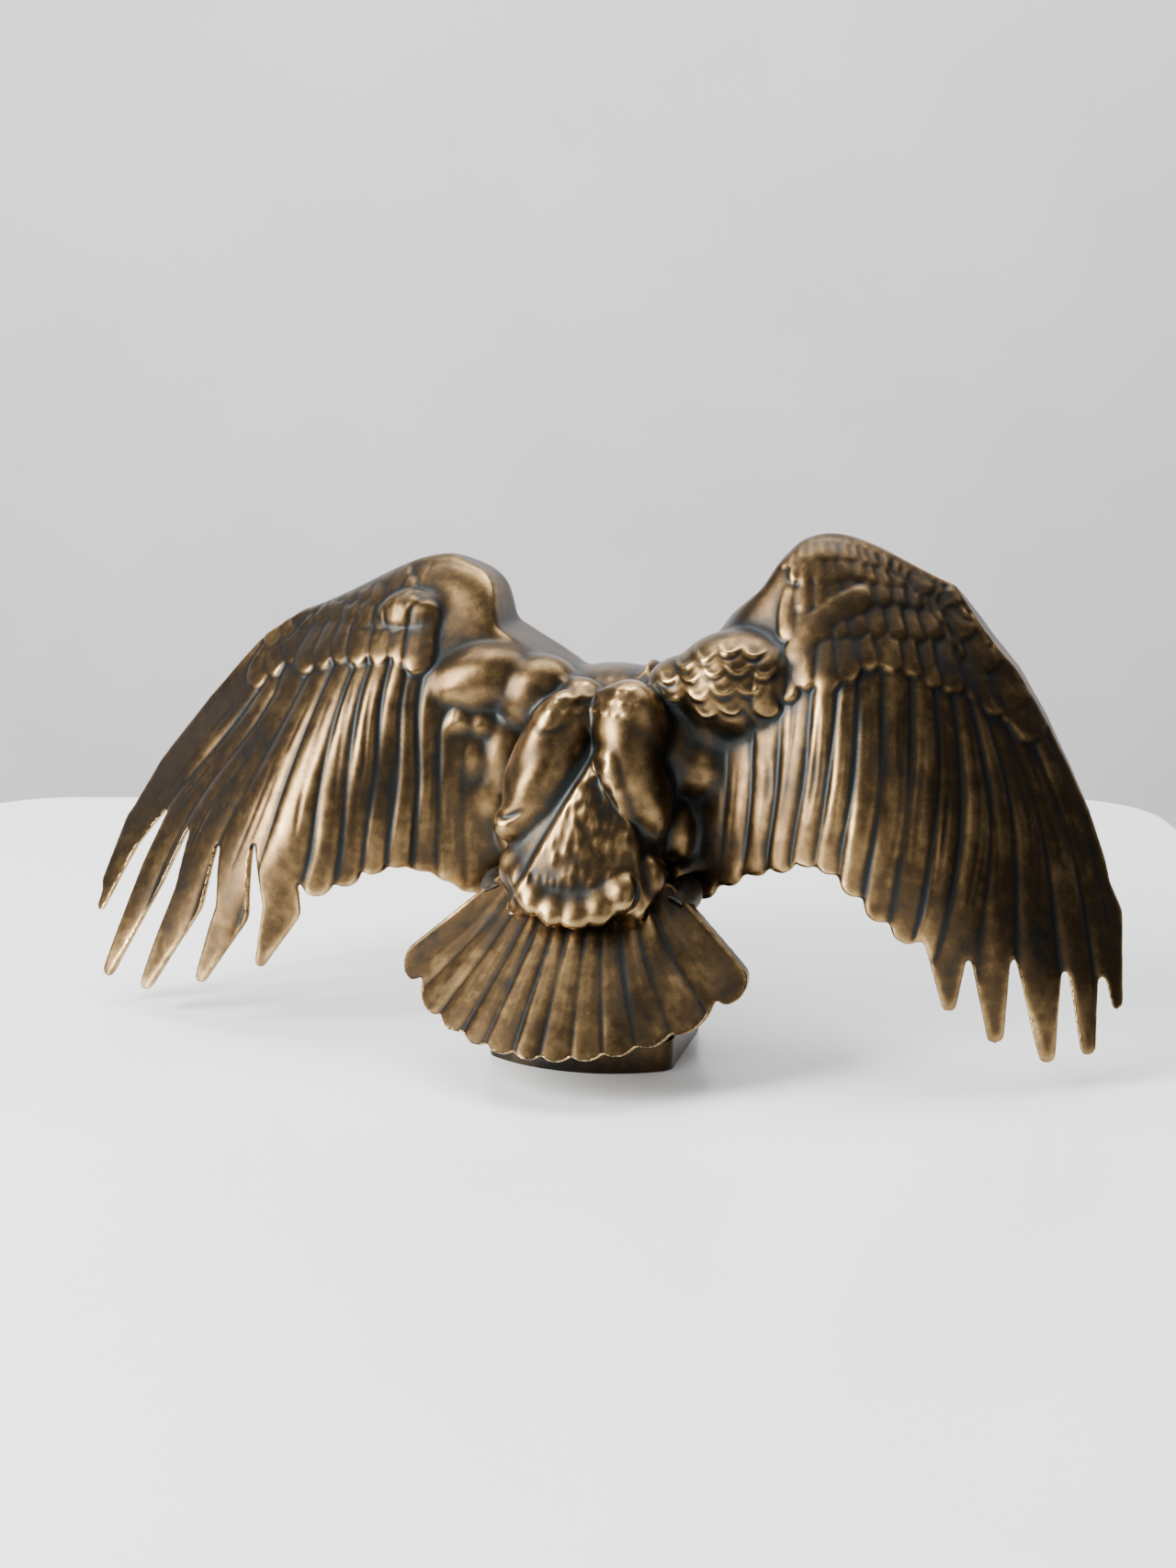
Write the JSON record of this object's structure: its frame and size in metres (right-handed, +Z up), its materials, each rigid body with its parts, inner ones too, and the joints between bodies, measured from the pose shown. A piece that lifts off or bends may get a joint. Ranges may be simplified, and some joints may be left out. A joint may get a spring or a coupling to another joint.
{
  "type": "hood ornament",
  "caption": "Cast brass eagle hood ornament with raised cupped wings and a fanned tail, on a rock perch and oval plinth tapped for hood studs",
  "frame": {"origin": "centre of the plinth's flat underside, where it seats on the hood", "axes": "+Z up; +Y the way the eagle faces, forward on the car; +X toward the eagle's right wing"},
  "size_m": [0.2913, 0.1433, 0.1372],
  "materials": {
    "antique_brass_body": "antiqued cast brass, near-black in the recesses and worn bright on the ridges",
    "antique_brass_wing": "antiqued cast brass, satin, with dark feather valleys and rubbed ridges",
    "antique_brass_tail": "antiqued cast brass, satin, with a worn scalloped edge",
    "perch_brass": "antiqued cast brass, rough as cast",
    "plinth_brass": "plain brown antiqued brass band, satin",
    "solder": "soft solder with a blue-green patina",
    "screw_steel": "plain steel, slightly dulled",
    "insert_brass": "turned brass, tapped"
  },
  "bodies": {
    "root": {"body_casting": "antique_brass_body", "head_casting": "antique_brass_body", "left_wing_casting": "antique_brass_wing", "right_wing_casting": "antique_brass_wing", "tail_casting": "antique_brass_tail", "left_leg_casting": "antique_brass_body", "right_leg_casting": "antique_brass_body", "perch_casting": "perch_brass", "plinth_casting": "plinth_brass", "solder_fillets": "solder", "wing_grub_screws": "screw_steel", "tail_screws": "screw_steel", "leg_studs": "screw_steel", "leg_washers": "screw_steel", "leg_nuts": "screw_steel", "plinth_screws": "screw_steel", "hood_inserts": "insert_brass"}
  },
  "joints": []
}
